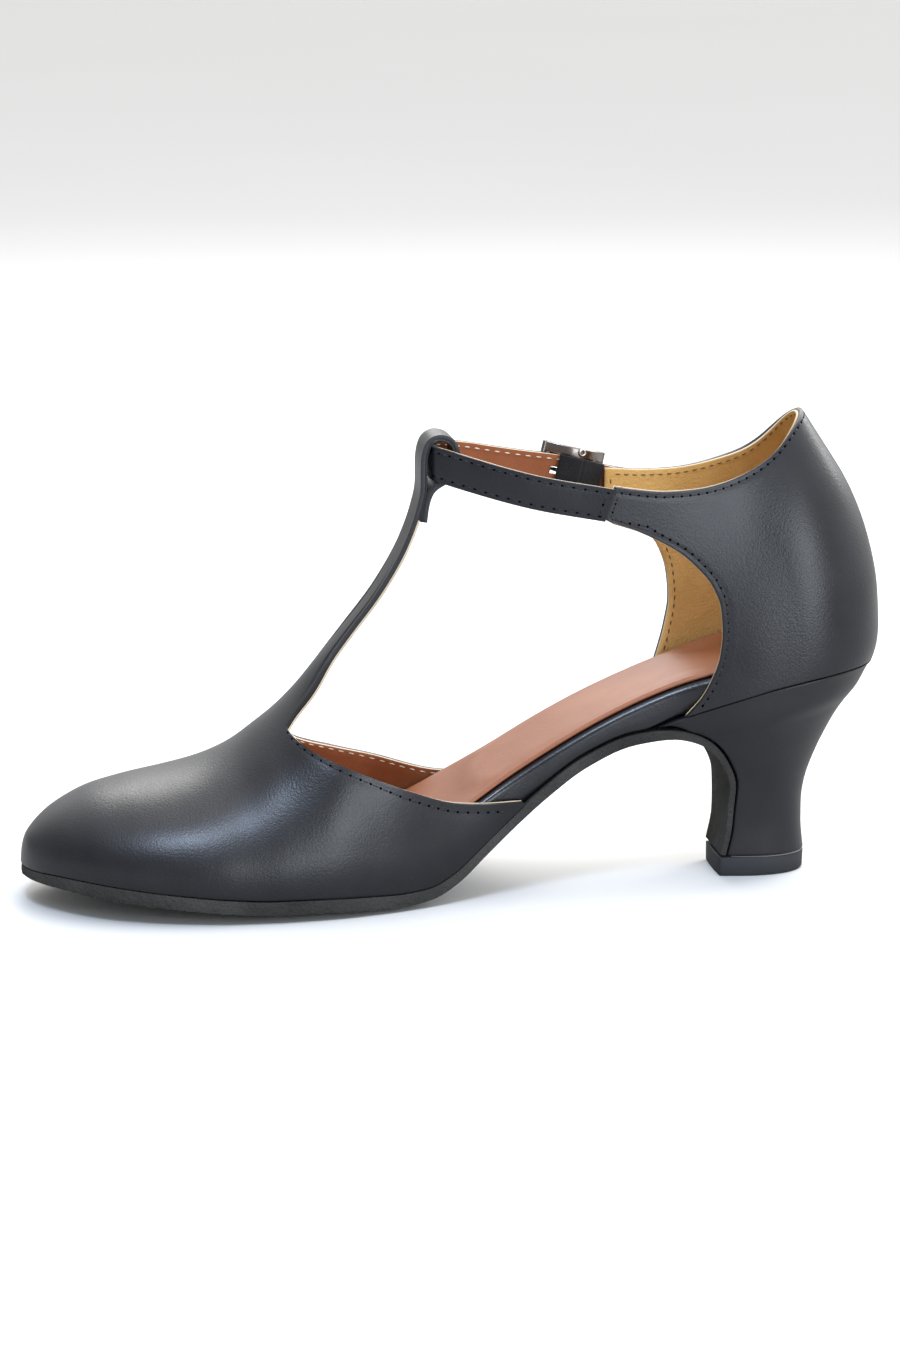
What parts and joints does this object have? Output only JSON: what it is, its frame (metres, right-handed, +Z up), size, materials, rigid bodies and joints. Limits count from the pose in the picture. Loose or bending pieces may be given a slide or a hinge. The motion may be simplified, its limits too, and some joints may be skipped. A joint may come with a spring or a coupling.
{
  "type": "T-strap heeled shoe",
  "caption": "Closed-toe T-strap shoe with a folded strap loop, buckled ankle strap, open waist, heel cup and a flared covered heel.",
  "frame": {"origin": "on the floor, under the middle of the shoe's bounding box", "axes": "-X towards the toe, +X towards the heel, +Y towards the lateral (outer, buckle) side, +Z up"},
  "size_m": [0.24, 0.0764, 0.1309],
  "materials": {
    "vamp": "satin smooth navy-black leather",
    "counter": "satin smooth navy-black leather",
    "ankle_strap": "satin smooth navy-black leather",
    "insole": "soft brown padded leather",
    "insole_board": "glossy black wrapped rim",
    "outsole": "rough dark grey split leather",
    "heel": "satin charcoal-black heel cover",
    "top_lift": "matt dark grey",
    "buckle_frame": "dark gunmetal, polished",
    "buckle_prong": "dark gunmetal, polished",
    "buckle_tab": "black woven elastic"
  },
  "bodies": {
    "root": {"vamp": "vamp", "counter": "counter", "ankle_strap": "ankle_strap", "insole": "insole", "insole_board": "insole_board", "outsole": "outsole", "heel": "heel", "top_lift": "top_lift", "buckle_frame": "buckle_frame", "buckle_prong": "buckle_prong", "buckle_tab": "buckle_tab"}
  },
  "joints": []
}
